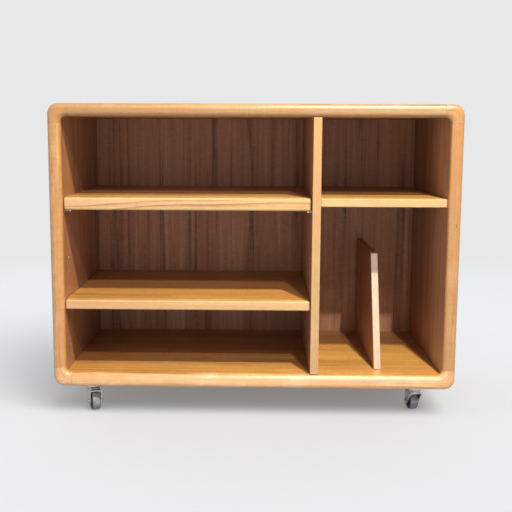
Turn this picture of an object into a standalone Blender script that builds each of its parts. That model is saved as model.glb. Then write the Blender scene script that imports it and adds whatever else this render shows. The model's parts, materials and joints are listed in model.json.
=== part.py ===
"""Low open bookcase with adjustable shelves, on four swivel casters.

Metres, +Z up. The origin is on the floor under the middle of the carcase, +X runs along the
front from left to right, and the open front faces -Y. Heights called *_TOP and *_Z are measured
from the underside of the carcase, and insets called *_SETBACK from the front of the carcase.
"""
import math

import bmesh
import bpy
from mathutils import Matrix, Vector

# Overall size
WIDTH = 0.850
DEPTH = 0.395
CARCASE_HEIGHT = 0.596
CASTER_HEIGHT = 0.060

# Fits between pieces
GAP = 0.0003              # between pieces that touch
GROOVE = 0.004            # how deep a fixed board is let into its neighbour
WELD = 0.00001
EDGE_EASE = 0.0008        # bevel on small turned pieces

# Carcase
SIDE_THICKNESS = 0.026
TOP_THICKNESS = 0.026
BOTTOM_THICKNESS = 0.0295
CORNER_RADIUS = 0.022
BACK_THICKNESS = 0.008
BACK_RECESS = 0.002       # from the carcase's back edge to the back panel
REBATE = 0.006            # how far the back panel reaches into the carcase

# Bullnosed front frame
FRAME_DEPTH = 0.0125
NOSE_RADIUS = 0.011
STILE_WIDTH = 0.027
TOP_RAIL_WIDTH = 0.027
BOTTOM_RAIL_WIDTH = 0.0305
FRAME_INNER_RADIUS = 0.012

# Partition between the two bays
LEFT_BAY_WIDTH = 0.5185
PARTITION_THICKNESS = 0.0175
PARTITION_SETBACK = 0.004
PARTITION_EASE = 0.0012

# Shelves
SHELF_END_CLEARANCE = 0.001
SHELF_BACK_CLEARANCE = 0.002
SHELF_LIP_DEPTH = 0.018
UPPER_SHELF_TOP = 0.4026
UPPER_SHELF_THICKNESS = 0.0264
UPPER_SHELF_SETBACK = 0.0155
UPPER_SHELF_ROUNDING = 0.004
LOWER_SHELF_TOP = 0.1852
LOWER_SHELF_THICKNESS = 0.0198
LOWER_SHELF_SETBACK = 0.0135
LOWER_SHELF_ROUNDING = 0.003
RIGHT_SHELF_TOP = 0.4025
RIGHT_SHELF_THICKNESS = 0.0172
RIGHT_SHELF_SETBACK = 0.0148
RIGHT_SHELF_ROUNDING = 0.002

# Record divider, in the middle of the right bay
DIVIDER_THICKNESS = 0.015
DIVIDER_TOP = 0.2705
DIVIDER_FOOT_SETBACK = 0.0475
DIVIDER_HEAD_SETBACK = 0.136
DIVIDER_LIP_DEPTH = 0.008
DIVIDER_EASE = 0.001

# Shelf studs and the holes they fit
STUD_INSET = 0.0575       # from the front edge, and from the back panel, to a column of holes
STUD_HEAD_RADIUS = 0.004
STUD_HEAD_LENGTH = 0.008
STUD_STEM_RADIUS = 0.0025
STUD_STEM_LENGTH = 0.009
HOLE_EXTRA_DEPTH = 0.002
HOLE_PITCH = 0.032
LOW_HOLES_Z = 0.0785
LOW_HOLE_COUNT = 2
MIDDLE_HOLES_Z = 0.2065
MIDDLE_HOLE_COUNT = 3

# Casters
CASTER_INSET_X = 0.0765
CASTER_INSET_Y = 0.047
WHEEL_RADIUS = 0.019
TYRE_WIDTH = 0.018
TYRE_THICKNESS = 0.005
TYRE_SHOULDER = 0.003
TRAIL = 0.013             # from the swivel axis to the axle
PLATE_SIZE = 0.042
PLATE_THICKNESS = 0.0025
PLATE_CORNER_RADIUS = 0.006
PLATE_HOLE_RADIUS = 0.0023
PLATE_HOLE_OFFSET = 0.016
CUP_RADIUS = 0.018
CUP_STRAIGHT_SHARE = 0.50 # of the cup's depth, before it narrows to the race
RACE_RADIUS = 0.0140
RACE_HEIGHT = 0.003
RACE_CLEARANCE = 0.0007
KINGPIN_RADIUS = 0.004
KINGPIN_HEAD_RADIUS = 0.0065
KINGPIN_HEAD_THICKNESS = 0.002
RUNNING_CLEARANCE = 0.0004
WHEEL_CROWN_CLEARANCE = 0.0025
FORK_THICKNESS = 0.002
FORK_SIDE_CLEARANCE = 0.0022
FORK_EYE_RADIUS = 0.0065
FORK_BEND_RADIUS = 0.0035
FORK_HEEL = 0.0135        # how far the crown reaches behind the swivel axis
AXLE_RADIUS = 0.003
AXLE_HEAD_RADIUS = 0.0052
AXLE_HEAD_THICKNESS = 0.0022
HUB_SIDE_CLEARANCE = 0.0006
HUB_BOSS_THICKNESS = 0.0032
HUB_RIM_THICKNESS = 0.0028
HUB_RIM_INSET = 0.001     # from the side of the tyre to the side of the rim
HUB_WEB_SHARE = 0.45      # of the rim's width that the web between rim and boss fills

# How finely round pieces are faceted
LARGE_TURN = 24
RING_TURN = 20
PIN_TURN = 12
HOLE_TURN = 10
NOSE_STEPS = 5
CORNER_STEPS = 8
BEND_STEPS = 4
EYE_STEPS = 10

# Where each caster is, and how far it has swivelled from pointing to the front, in degrees
CASTERS = (
    ("front_left", -1, -1, 23.0),
    ("front_right", 1, -1, 189.0),
    ("rear_left", -1, 1, 160.0),
    ("rear_right", 1, 1, 205.0),
)

# Levels and faces that several pieces share
LEFT = -WIDTH / 2
RIGHT = WIDTH / 2
FRONT = -DEPTH / 2
BACK = DEPTH / 2
UNDERSIDE = CASTER_HEIGHT
TOP = CASTER_HEIGHT + CARCASE_HEIGHT
FLOOR = UNDERSIDE + BOTTOM_THICKNESS
CEILING = TOP - TOP_THICKNESS
WALL_LEFT = LEFT + SIDE_THICKNESS
WALL_RIGHT = RIGHT - SIDE_THICKNESS
PANEL_FRONT = FRONT + FRAME_DEPTH + GAP
BACK_FACE = BACK - BACK_RECESS - BACK_THICKNESS
PARTITION_LEFT = WALL_LEFT + LEFT_BAY_WIDTH
PARTITION_RIGHT = PARTITION_LEFT + PARTITION_THICKNESS


# ---------------------------------------------------------------- scene and materials

def clear_scene():
    for obj in list(bpy.data.objects):
        bpy.data.objects.remove(obj, do_unlink=True)


def make_material(name, colour, roughness, metallic=0.0):
    material = bpy.data.materials.new(name)
    material.use_nodes = True
    shader = material.node_tree.nodes["Principled BSDF"]
    shader.inputs["Base Color"].default_value = (*colour, 1.0)
    shader.inputs["Roughness"].default_value = roughness
    shader.inputs["Metallic"].default_value = metallic
    material.diffuse_color = (*colour, 1.0)
    return material


clear_scene()
PARTS = bpy.data.collections.new("Bookcase with adjustable shelves")
bpy.context.scene.collection.children.link(PARTS)

SOLID_TEAK = make_material("solid teak", (0.62, 0.33, 0.12), 0.45)
TEAK_VENEER = make_material("teak veneer", (0.50, 0.24, 0.09), 0.50)
BACK_VENEER = make_material("dark back veneer", (0.16, 0.07, 0.035), 0.60)
ZINC = make_material("zinc plated steel", (0.62, 0.61, 0.56), 0.35, 1.0)
NICKEL = make_material("nickel plated stud", (0.80, 0.79, 0.76), 0.25, 1.0)
NYLON = make_material("grey nylon hub", (0.10, 0.10, 0.11), 0.50)
RUBBER = make_material("grey rubber tyre", (0.22, 0.23, 0.26), 0.75)


# ---------------------------------------------------------------- modelling helpers

def new_part(name, mesh, material, location=(0, 0, 0), parent=None, smooth=None):
    """A finished piece in the parts collection; smooth is the angle, in degrees, that stays sharp."""
    mesh.materials.clear()
    mesh.materials.append(material)
    if smooth:
        mesh.shade_smooth()
        mesh.set_sharp_from_angle(angle=math.radians(smooth))
    part = bpy.data.objects.new(name, mesh)
    PARTS.objects.link(part)
    part.location = location
    part.parent = parent
    return part


def new_empty(name, location, rotation=(0, 0, 0), parent=None):
    empty = bpy.data.objects.new(name, None)
    PARTS.objects.link(empty)
    empty.location = location
    empty.rotation_euler = rotation
    empty.parent = parent
    return empty


def evaluated_mesh(obj):
    bpy.context.view_layer.update()
    graph = bpy.context.evaluated_depsgraph_get()
    return bpy.data.meshes.new_from_object(obj.evaluated_get(graph))


def combine(mesh, other, operation):
    """The exact Boolean of two meshes that are in the same coordinates."""
    base = bpy.data.objects.new("base", mesh)
    tool = bpy.data.objects.new("tool", other)
    for obj in (base, tool):
        bpy.context.scene.collection.objects.link(obj)
    boolean = base.modifiers.new(operation.lower(), "BOOLEAN")
    boolean.operation = operation
    boolean.solver = "EXACT"
    boolean.object = tool
    result = evaluated_mesh(base)
    for obj in (base, tool):
        bpy.data.objects.remove(obj)
    return result


def cut(mesh, other):
    return combine(mesh, other, "DIFFERENCE")


def box_mesh(low, high):
    low, high = Vector(low), Vector(high)
    bm = bmesh.new()
    bmesh.ops.create_cube(bm, size=1.0)
    bmesh.ops.scale(bm, vec=high - low, verts=bm.verts)
    bmesh.ops.translate(bm, vec=(low + high) / 2, verts=bm.verts)
    mesh = bpy.data.meshes.new("box")
    bm.to_mesh(mesh)
    bm.free()
    return mesh


def cylinders_mesh(radius, ends, segments):
    """One mesh of separate cylinders; ends is a list of (start, end) points."""
    bm = bmesh.new()
    for start, end in ends:
        axis = Vector(end) - Vector(start)
        turn = Vector((0, 0, 1)).rotation_difference(axis).to_matrix().to_4x4()
        place = Matrix.Translation((Vector(start) + Vector(end)) / 2) @ turn
        bmesh.ops.create_cone(bm, cap_ends=True, segments=segments, radius1=radius,
                              radius2=radius, depth=axis.length, matrix=place)
    mesh = bpy.data.meshes.new("cylinders")
    bm.to_mesh(mesh)
    bm.free()
    return mesh


def arc(centre, radius, start, end, steps):
    """Points on an arc, with angles in degrees, both ends included."""
    points = []
    for step in range(steps + 1):
        angle = math.radians(start + (end - start) * step / steps)
        points.append((centre[0] + radius * math.cos(angle), centre[1] + radius * math.sin(angle)))
    return points


# How an outline's own x, y and thickness turn into the axes of the piece
ALONG_X = Matrix(((0, 0, 1, 0), (1, 0, 0, 0), (0, 1, 0, 0), (0, 0, 0, 1)))   # outline is (y, z)
ALONG_Y = Matrix(((1, 0, 0, 0), (0, 0, -1, 0), (0, 1, 0, 0), (0, 0, 0, 1)))  # outline is (x, z)
ALONG_Z = Matrix.Identity(4)                                                 # outline is (x, y)


def outline_mesh(points, direction, start, end):
    """A flat outline, made thick along one axis from start to end."""
    curve = bpy.data.curves.new("outline", "CURVE")
    curve.dimensions = "2D"
    curve.fill_mode = "BOTH"
    curve.extrude = abs(end - start) / 2
    spline = curve.splines.new("POLY")
    spline.points.add(len(points) - 1)
    for point, place in zip(spline.points, points):
        point.co = (*place, 0, 1)
    spline.use_cyclic_u = True
    guide = bpy.data.objects.new("outline", curve)
    bpy.context.scene.collection.objects.link(guide)
    mesh = evaluated_mesh(guide)
    bpy.data.objects.remove(guide)
    middle = (start + end) / 2
    thick_axis = direction.to_3x3() @ Vector((0, 0, 1))
    offset = Vector([middle if abs(value) > 0.5 else 0 for value in thick_axis])
    mesh.transform(Matrix.Translation(offset) @ direction)
    weld(mesh)
    return mesh


def weld(mesh):
    bm = bmesh.new()
    bm.from_mesh(mesh)
    bmesh.ops.remove_doubles(bm, verts=bm.verts, dist=WELD)
    bm.to_mesh(mesh)
    bm.free()


def turned_mesh(profile, segments, ring=False):
    """A profile of (radius, height), down its outer side, turned about Z; a ring's profile is closed."""
    mesh = bpy.data.meshes.new("profile")
    edges = [(index, index + 1) for index in range(len(profile) - 1)]
    if ring:
        edges.append((len(profile) - 1, 0))
    mesh.from_pydata([(radius, 0, height) for radius, height in profile], edges, [])
    spun = bpy.data.objects.new("spun", mesh)
    bpy.context.scene.collection.objects.link(spun)
    screw = spun.modifiers.new("turn", "SCREW")
    screw.steps = segments
    screw.render_steps = segments
    screw.use_merge_vertices = True
    screw.merge_threshold = WELD
    result = evaluated_mesh(spun)
    bpy.data.objects.remove(spun)
    return result


def eased_box(name, low, high, material, width, segments=3):
    """A box with its edges rounded, as on a solid lipping."""
    low, high = Vector(low), Vector(high)
    half = (high - low) / 2
    part = new_part(name, box_mesh(-half, half), material, (low + high) / 2, smooth=50)
    bevel = part.modifiers.new("eased edges", "BEVEL")
    bevel.width = width
    bevel.segments = segments
    return part


# ---------------------------------------------------------------- front frame

def corner_paths(rail_width):
    """Matching points on the outer and the inner edge of a corner, from the stile to the rail.

    Both are measured inwards from the carcase's outer faces, as (x, z).
    """
    reach_x = STILE_WIDTH + FRAME_INNER_RADIUS
    reach_z = rail_width + FRAME_INNER_RADIUS
    run_z = reach_z - CORNER_RADIUS
    run_x = reach_x - CORNER_RADIUS
    turn = CORNER_RADIUS * math.pi / 2
    total = run_z + turn + run_x
    pairs = []
    for step in range(CORNER_STEPS + 1):
        share = step / CORNER_STEPS
        length = share * total
        if length < run_z:
            outer = (0, reach_z - length)
        elif length < run_z + turn:
            angle = (length - run_z) / CORNER_RADIUS
            outer = (CORNER_RADIUS * (1 - math.cos(angle)), CORNER_RADIUS * (1 - math.sin(angle)))
        else:
            outer = (CORNER_RADIUS + length - run_z - turn, 0)
        angle = share * math.pi / 2
        inner = (reach_x - FRAME_INNER_RADIUS * math.cos(angle),
                 reach_z - FRAME_INNER_RADIUS * math.sin(angle))
        pairs.append((outer, inner))
    return pairs


def nose_section(outer, inner):
    """The bullnose from the back of the outer edge, over the front, to the back of the inner edge."""
    outer, inner = Vector(outer), Vector(inner)
    across = (inner - outer).normalized()
    section = [(outer.x, FRONT + FRAME_DEPTH, outer.y)]
    for edge, inward in ((outer, across), (inner, -across)):
        bend = []
        for step in range(NOSE_STEPS + 1):
            angle = math.radians(90 * step / NOSE_STEPS)
            place = edge + inward * NOSE_RADIUS * (1 - math.cos(angle))
            bend.append((place.x, FRONT + NOSE_RADIUS * (1 - math.sin(angle)), place.y))
        section += bend if edge is outer else bend[::-1]
    section.append((inner.x, FRONT + FRAME_DEPTH, inner.y))
    return section


def loft_mesh(sections):
    """A closed body through sections that have the same number of points."""
    bm = bmesh.new()
    rings = [[bm.verts.new(point) for point in section] for section in sections]
    count = len(rings[0])
    for ring, following in zip(rings, rings[1:]):
        for index in range(count):
            after = (index + 1) % count
            bm.faces.new((ring[index], ring[after], following[after], following[index]))
    bm.faces.new(rings[0])
    bm.faces.new(rings[-1])
    bmesh.ops.recalc_face_normals(bm, faces=bm.faces)
    mesh = bpy.data.meshes.new("loft")
    bm.to_mesh(mesh)
    bm.free()
    return mesh


def build_front_frame():
    corner_x = STILE_WIDTH + FRAME_INNER_RADIUS
    corner_z = {"top": TOP_RAIL_WIDTH + FRAME_INNER_RADIUS,
                "bottom": BOTTOM_RAIL_WIDTH + FRAME_INNER_RADIUS}
    stile_low = UNDERSIDE + corner_z["bottom"] + GAP
    stile_high = TOP - corner_z["top"] - GAP
    for side, edge, inward in (("left", LEFT, 1), ("right", RIGHT, -1)):
        inner = edge + inward * STILE_WIDTH
        sections = [nose_section((edge, z), (inner, z)) for z in (stile_low, stile_high)]
        new_part(f"frame_stile_{side}", loft_mesh(sections), SOLID_TEAK, smooth=40)
    rails = (("top", TOP, -1, TOP_RAIL_WIDTH), ("bottom", UNDERSIDE, 1, BOTTOM_RAIL_WIDTH))
    for level, edge, inward, width in rails:
        inner = edge + inward * width
        ends = (LEFT + corner_x + GAP, RIGHT - corner_x - GAP)
        sections = [nose_section((x, edge), (x, inner)) for x in ends]
        new_part(f"frame_rail_{level}", loft_mesh(sections), SOLID_TEAK, smooth=40)
        for side, side_edge, side_inward in (("left", LEFT, 1), ("right", RIGHT, -1)):
            sections = []
            for outer, inner_point in corner_paths(width):
                places = [(side_edge + side_inward * x, edge + inward * z)
                          for x, z in (outer, inner_point)]
                sections.append(nose_section(*places))
            new_part(f"frame_corner_{level}_{side}", loft_mesh(sections), SOLID_TEAK, smooth=40)


# ---------------------------------------------------------------- carcase

def back_rebate():
    """The room that the back panel takes out of the carcase."""
    reach = REBATE + GAP
    return box_mesh((WALL_LEFT - reach, BACK_FACE - GAP, FLOOR - reach),
                    (WALL_RIGHT + reach, BACK + GAP, CEILING + reach))


def board_groove(x_low, x_high, y_low, y_high, z_low, z_high):
    return box_mesh((x_low - GAP, y_low - GAP, z_low - GAP), (x_high + GAP, y_high + GAP, z_high + GAP))


def partition_groove():
    return board_groove(PARTITION_LEFT, PARTITION_RIGHT, PANEL_FRONT - FRAME_DEPTH, BACK,
                        FLOOR - GROOVE, CEILING + GROOVE)


def divider_span():
    middle = (PARTITION_RIGHT + WALL_RIGHT) / 2
    return middle - DIVIDER_THICKNESS / 2, middle + DIVIDER_THICKNESS / 2


def shelf_stud_height(shelf_top, thickness):
    """Height of a stud's axis under a shelf that rests on its head."""
    return UNDERSIDE + shelf_top - thickness - GAP - STUD_HEAD_RADIUS


def stud_columns():
    return FRONT + STUD_INSET, BACK_FACE - STUD_INSET


def hole_heights():
    low = [UNDERSIDE + LOW_HOLES_Z + HOLE_PITCH * index for index in range(LOW_HOLE_COUNT)]
    middle = [UNDERSIDE + MIDDLE_HOLES_Z + HOLE_PITCH * index for index in range(MIDDLE_HOLE_COUNT)]
    used = [shelf_stud_height(UPPER_SHELF_TOP, UPPER_SHELF_THICKNESS),
            shelf_stud_height(LOWER_SHELF_TOP, LOWER_SHELF_THICKNESS)]
    return low + middle + used


def stud_holes(wall, into):
    """Blind holes in a face at x = wall, drilled the way of into (-1 or 1)."""
    deep = wall + into * (STUD_STEM_LENGTH + HOLE_EXTRA_DEPTH)
    out = wall - into * HOLE_EXTRA_DEPTH
    ends = [((out, y, z), (deep, y, z)) for y in stud_columns() for z in hole_heights()]
    return cylinders_mesh(STUD_STEM_RADIUS + GAP, ends, HOLE_TURN)


def build_carcase():
    inside_x = (WALL_LEFT + GAP, WALL_RIGHT - GAP)
    inside_z = (FLOOR + GAP, CEILING - GAP)
    top = box_mesh((inside_x[0], PANEL_FRONT, CEILING), (inside_x[1], BACK, TOP))
    bottom = box_mesh((inside_x[0], PANEL_FRONT, UNDERSIDE), (inside_x[1], BACK, FLOOR))
    left = box_mesh((LEFT, PANEL_FRONT, inside_z[0]), (WALL_LEFT, BACK, inside_z[1]))
    right = box_mesh((WALL_RIGHT, PANEL_FRONT, inside_z[0]), (RIGHT, BACK, inside_z[1]))
    divider_left, divider_right = divider_span()
    divider_groove = board_groove(divider_left, divider_right, FRONT + DIVIDER_FOOT_SETBACK, BACK,
                                  FLOOR - GROOVE, FLOOR + GROOVE)
    shelf_groove = board_groove(WALL_RIGHT - GROOVE, WALL_RIGHT + GROOVE, *right_shelf_board_yz())
    top = cut(cut(top, back_rebate()), partition_groove())
    bottom = cut(cut(bottom, back_rebate()), partition_groove())
    new_part("top_panel", top, TEAK_VENEER)
    new_part("bottom_panel", cut(bottom, divider_groove), TEAK_VENEER)
    new_part("side_left", cut(cut(left, back_rebate()), stud_holes(WALL_LEFT, -1)), TEAK_VENEER)
    new_part("side_right", cut(cut(right, back_rebate()), shelf_groove), TEAK_VENEER)
    build_corner_posts()
    back = box_mesh((WALL_LEFT - REBATE, BACK_FACE, FLOOR - REBATE),
                    (WALL_RIGHT + REBATE, BACK_FACE + BACK_THICKNESS, CEILING + REBATE))
    new_part("back_panel", back, BACK_VENEER)


def build_corner_posts():
    """Solid posts, square inside and round outside, along the carcase's four long corners."""
    levels = (("top", TOP, -1, TOP_THICKNESS), ("bottom", UNDERSIDE, 1, BOTTOM_THICKNESS))
    for level, edge_z, up, height in levels:
        for side, edge_x, inward in (("left", LEFT, 1), ("right", RIGHT, -1)):
            round_corner = arc((CORNER_RADIUS, CORNER_RADIUS), CORNER_RADIUS, 270, 180, CORNER_STEPS)
            outline = [(SIDE_THICKNESS, height), (SIDE_THICKNESS, 0)] + round_corner + [(0, height)]
            places = [(edge_x + inward * x, edge_z + up * z) for x, z in outline]
            post = outline_mesh(places, ALONG_Y, PANEL_FRONT, BACK)
            new_part(f"corner_post_{level}_{side}", cut(post, back_rebate()), SOLID_TEAK, smooth=40)


def build_partition():
    board = box_mesh((PARTITION_LEFT, PANEL_FRONT, FLOOR - GROOVE),
                     (PARTITION_RIGHT, BACK_FACE - 2 * GAP, CEILING + GROOVE))
    shelf_groove = board_groove(PARTITION_RIGHT - GROOVE, PARTITION_RIGHT + GROOVE,
                                *right_shelf_board_yz())
    board = cut(cut(board, shelf_groove), stud_holes(PARTITION_LEFT, 1))
    new_part("partition", board, TEAK_VENEER)
    eased_box("partition_lipping",
              (PARTITION_LEFT, FRONT + PARTITION_SETBACK, UNDERSIDE + BOTTOM_RAIL_WIDTH + GAP),
              (PARTITION_RIGHT, FRONT + FRAME_DEPTH, TOP - TOP_RAIL_WIDTH - GAP),
              SOLID_TEAK, PARTITION_EASE, 2)


# ---------------------------------------------------------------- shelves

def shelf_yz(shelf_top, thickness, setback, end_clearance):
    """Front, back, underside and top of a shelf's board, behind its lip."""
    return (FRONT + setback + SHELF_LIP_DEPTH + GAP, BACK_FACE - end_clearance,
            UNDERSIDE + shelf_top - thickness, UNDERSIDE + shelf_top)


def right_shelf_board_yz():
    return shelf_yz(RIGHT_SHELF_TOP, RIGHT_SHELF_THICKNESS, RIGHT_SHELF_SETBACK, 2 * GAP)


def build_shelf_lip(name, x_low, x_high, shelf_top, thickness, setback, roundness):
    eased_box(name, (x_low, FRONT + setback, UNDERSIDE + shelf_top - thickness),
              (x_high, FRONT + setback + SHELF_LIP_DEPTH, UNDERSIDE + shelf_top), SOLID_TEAK, roundness)


def build_shelves():
    loose = (("upper_shelf", UPPER_SHELF_TOP, UPPER_SHELF_THICKNESS, UPPER_SHELF_SETBACK,
              UPPER_SHELF_ROUNDING),
             ("lower_shelf", LOWER_SHELF_TOP, LOWER_SHELF_THICKNESS, LOWER_SHELF_SETBACK,
              LOWER_SHELF_ROUNDING))
    x_low = WALL_LEFT + SHELF_END_CLEARANCE
    x_high = PARTITION_LEFT - SHELF_END_CLEARANCE
    for name, shelf_top, thickness, setback, roundness in loose:
        y_low, y_high, z_low, z_high = shelf_yz(shelf_top, thickness, setback, SHELF_BACK_CLEARANCE)
        half = Vector((x_high - x_low, y_high - y_low, z_high - z_low)) / 2
        middle = Vector((x_high + x_low, y_high + y_low, z_high + z_low)) / 2
        new_part(f"{name}_board", box_mesh(-half, half), TEAK_VENEER, middle)
        build_shelf_lip(f"{name}_lip", x_low, x_high, shelf_top, thickness, setback, roundness)
    y_low, y_high, z_low, z_high = right_shelf_board_yz()
    fixed = box_mesh((PARTITION_RIGHT - GROOVE, y_low, z_low), (WALL_RIGHT + GROOVE, y_high, z_high))
    new_part("right_shelf_board", fixed, TEAK_VENEER)
    build_shelf_lip("right_shelf_lip", PARTITION_RIGHT + GAP, WALL_RIGHT - GAP, RIGHT_SHELF_TOP,
                    RIGHT_SHELF_THICKNESS, RIGHT_SHELF_SETBACK, RIGHT_SHELF_ROUNDING)


def build_divider():
    """Upright with a sloping front edge, let into the floor and lipped along the slope."""
    x_low, x_high = divider_span()
    foot = Vector((FRONT + DIVIDER_FOOT_SETBACK, FLOOR + GAP))
    head = Vector((FRONT + DIVIDER_HEAD_SETBACK, UNDERSIDE + DIVIDER_TOP))
    slope = (head - foot) / (head.y - foot.y)      # change of y for each metre up
    across = math.hypot(1, slope.x)                # slanted width for each metre of y
    lip_y = DIVIDER_LIP_DEPTH * across
    board_y = lip_y + GAP * across
    back = BACK_FACE - 2 * GAP
    low = FLOOR - GROOVE
    foot_x = foot.x + slope.x * (low - foot.y) + board_y
    board = [(foot_x, low), (back, low), (back, head.y), (head.x + board_y, head.y)]
    lip = [tuple(foot), (foot.x + lip_y, foot.y), (head.x + lip_y, head.y), tuple(head)]
    new_part("divider_board", outline_mesh(board, ALONG_X, x_low, x_high), TEAK_VENEER)
    lipping = new_part("divider_lipping", outline_mesh(lip, ALONG_X, x_low, x_high), SOLID_TEAK, smooth=50)
    bevel = lipping.modifiers.new("eased edges", "BEVEL")
    bevel.width = DIVIDER_EASE
    bevel.segments = 2
    bevel.limit_method = "ANGLE"
    bevel.angle_limit = math.radians(20)


def build_studs():
    stem = STUD_STEM_RADIUS
    head = STUD_HEAD_RADIUS
    profile = [(0, STUD_HEAD_LENGTH), (head - EDGE_EASE, STUD_HEAD_LENGTH),
               (head, STUD_HEAD_LENGTH - EDGE_EASE), (head, GAP), (stem, GAP),
               (stem, -STUD_STEM_LENGTH), (0, -STUD_STEM_LENGTH)]
    mesh = turned_mesh(profile, PIN_TURN)
    shelves = (("upper", UPPER_SHELF_TOP, UPPER_SHELF_THICKNESS),
               ("lower", LOWER_SHELF_TOP, LOWER_SHELF_THICKNESS))
    for shelf, shelf_top, thickness in shelves:
        z = shelf_stud_height(shelf_top, thickness)
        for side, wall, turn in (("left", WALL_LEFT, 90), ("right", PARTITION_LEFT, -90)):
            for place, y in zip(("front", "back"), stud_columns()):
                stud = new_part(f"stud_{shelf}_{place}_{side}", mesh, NICKEL, (wall, y, z), smooth=40)
                stud.rotation_euler = (0, math.radians(turn), 0)


# ---------------------------------------------------------------- casters

WHEEL_TOP = 2 * WHEEL_RADIUS
CROWN_LOW = WHEEL_TOP + WHEEL_CROWN_CLEARANCE
CROWN_HIGH = CROWN_LOW + FORK_THICKNESS
RACE_TOP = CROWN_HIGH + RACE_HEIGHT
PLATE_HIGH = CASTER_HEIGHT - GAP
PLATE_LOW = PLATE_HIGH - PLATE_THICKNESS
FORK_INSIDE = TYRE_WIDTH / 2 + FORK_SIDE_CLEARANCE
FORK_OUTSIDE = FORK_INSIDE + FORK_THICKNESS


def plate_mesh():
    """Screwed plate with the upper bearing cup pressed into it, bored for the kingpin."""
    half = PLATE_SIZE / 2
    inner = half - PLATE_CORNER_RADIUS
    outline = []
    for quarter, (x, y) in enumerate(((inner, inner), (-inner, inner), (-inner, -inner), (inner, -inner))):
        outline += arc((x, y), PLATE_CORNER_RADIUS, 90 * quarter, 90 * quarter + 90, BEND_STEPS)
    plate = outline_mesh(outline, ALONG_Z, PLATE_LOW, PLATE_HIGH)
    cup_low = RACE_TOP + RACE_CLEARANCE
    inside_plate = PLATE_LOW + PLATE_THICKNESS / 2
    straight_low = PLATE_LOW - CUP_STRAIGHT_SHARE * (PLATE_LOW - cup_low)
    profile = [(0, inside_plate), (CUP_RADIUS, inside_plate), (CUP_RADIUS, straight_low),
               (RACE_RADIUS, cup_low), (0, cup_low)]
    plate = combine(plate, turned_mesh(profile, RING_TURN), "UNION")
    below, above = cup_low - PLATE_THICKNESS, PLATE_HIGH + PLATE_THICKNESS
    bore = cylinders_mesh(KINGPIN_RADIUS + GAP, [((0, 0, below), (0, 0, above))], PIN_TURN)
    places = [(x * PLATE_HOLE_OFFSET, y * PLATE_HOLE_OFFSET) for x in (-1, 1) for y in (-1, 1)]
    holes = cylinders_mesh(PLATE_HOLE_RADIUS, [((x, y, below), (x, y, above)) for x, y in places], HOLE_TURN)
    return cut(cut(plate, bore), holes)


def kingpin_mesh():
    head_high = CROWN_LOW - RUNNING_CLEARANCE
    head_low = head_high - KINGPIN_HEAD_THICKNESS
    profile = [(0, PLATE_HIGH), (KINGPIN_RADIUS, PLATE_HIGH), (KINGPIN_RADIUS, head_high),
               (KINGPIN_HEAD_RADIUS, head_high), (KINGPIN_HEAD_RADIUS, head_low + EDGE_EASE),
               (KINGPIN_HEAD_RADIUS - EDGE_EASE, head_low), (0, head_low)]
    return turned_mesh(profile, PIN_TURN)


def fork_mesh():
    """Sheet folded over the wheel: a channel trimmed to its side view, with a bearing race on top."""
    bend = FORK_BEND_RADIUS
    inner_bend = bend - FORK_THICKNESS
    low = WHEEL_RADIUS - 2 * FORK_EYE_RADIUS
    outside = (arc((FORK_OUTSIDE - bend, CROWN_HIGH - bend), bend, 0, 90, BEND_STEPS)
               + arc((bend - FORK_OUTSIDE, CROWN_HIGH - bend), bend, 90, 180, BEND_STEPS))
    inside = (arc((inner_bend - FORK_INSIDE, CROWN_LOW - inner_bend), inner_bend, 180, 90, BEND_STEPS)
              + arc((FORK_INSIDE - inner_bend, CROWN_LOW - inner_bend), inner_bend, 90, 0, BEND_STEPS))
    channel_outline = ([(FORK_OUTSIDE, low)] + outside + [(-FORK_OUTSIDE, low), (-FORK_INSIDE, low)]
                       + inside + [(FORK_INSIDE, low)])
    toe = -TRAIL - FORK_EYE_RADIUS
    channel = outline_mesh(channel_outline, ALONG_Y, toe - FORK_THICKNESS, FORK_HEEL + FORK_THICKNESS)
    eye = arc((-TRAIL, WHEEL_RADIUS), FORK_EYE_RADIUS, 180, 320, EYE_STEPS)
    heel_low = CROWN_LOW - 2 * FORK_THICKNESS
    over = CROWN_HIGH + FORK_THICKNESS
    side_view = [(FORK_HEEL, over), (toe, over)] + eye + [(FORK_HEEL, heel_low)]
    wide = FORK_OUTSIDE + FORK_THICKNESS
    fork = combine(channel, outline_mesh(side_view, ALONG_X, -wide, wide), "INTERSECT")
    race_low = CROWN_HIGH - FORK_THICKNESS / 2
    race = [(0, RACE_TOP), (RACE_RADIUS - EDGE_EASE, RACE_TOP), (RACE_RADIUS, RACE_TOP - EDGE_EASE),
            (RACE_RADIUS, race_low), (0, race_low)]
    fork = combine(fork, turned_mesh(race, RING_TURN), "UNION")
    bore = cylinders_mesh(KINGPIN_RADIUS + RUNNING_CLEARANCE,
                          [((0, 0, low), (0, 0, CASTER_HEIGHT))], PIN_TURN)
    axle_hole = cylinders_mesh(AXLE_RADIUS + GAP,
                               [((-wide, -TRAIL, WHEEL_RADIUS), (wide, -TRAIL, WHEEL_RADIUS))], PIN_TURN)
    return cut(cut(fork, bore), axle_hole)


def axle_mesh():
    inside = FORK_OUTSIDE + GAP
    outside = inside + AXLE_HEAD_THICKNESS
    half = [(0, outside), (AXLE_HEAD_RADIUS - EDGE_EASE, outside),
            (AXLE_HEAD_RADIUS, outside - EDGE_EASE), (AXLE_HEAD_RADIUS, inside), (AXLE_RADIUS, inside)]
    mirrored = [(radius, -height) for radius, height in reversed(half)]
    return turned_mesh(half + mirrored, PIN_TURN)


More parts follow.
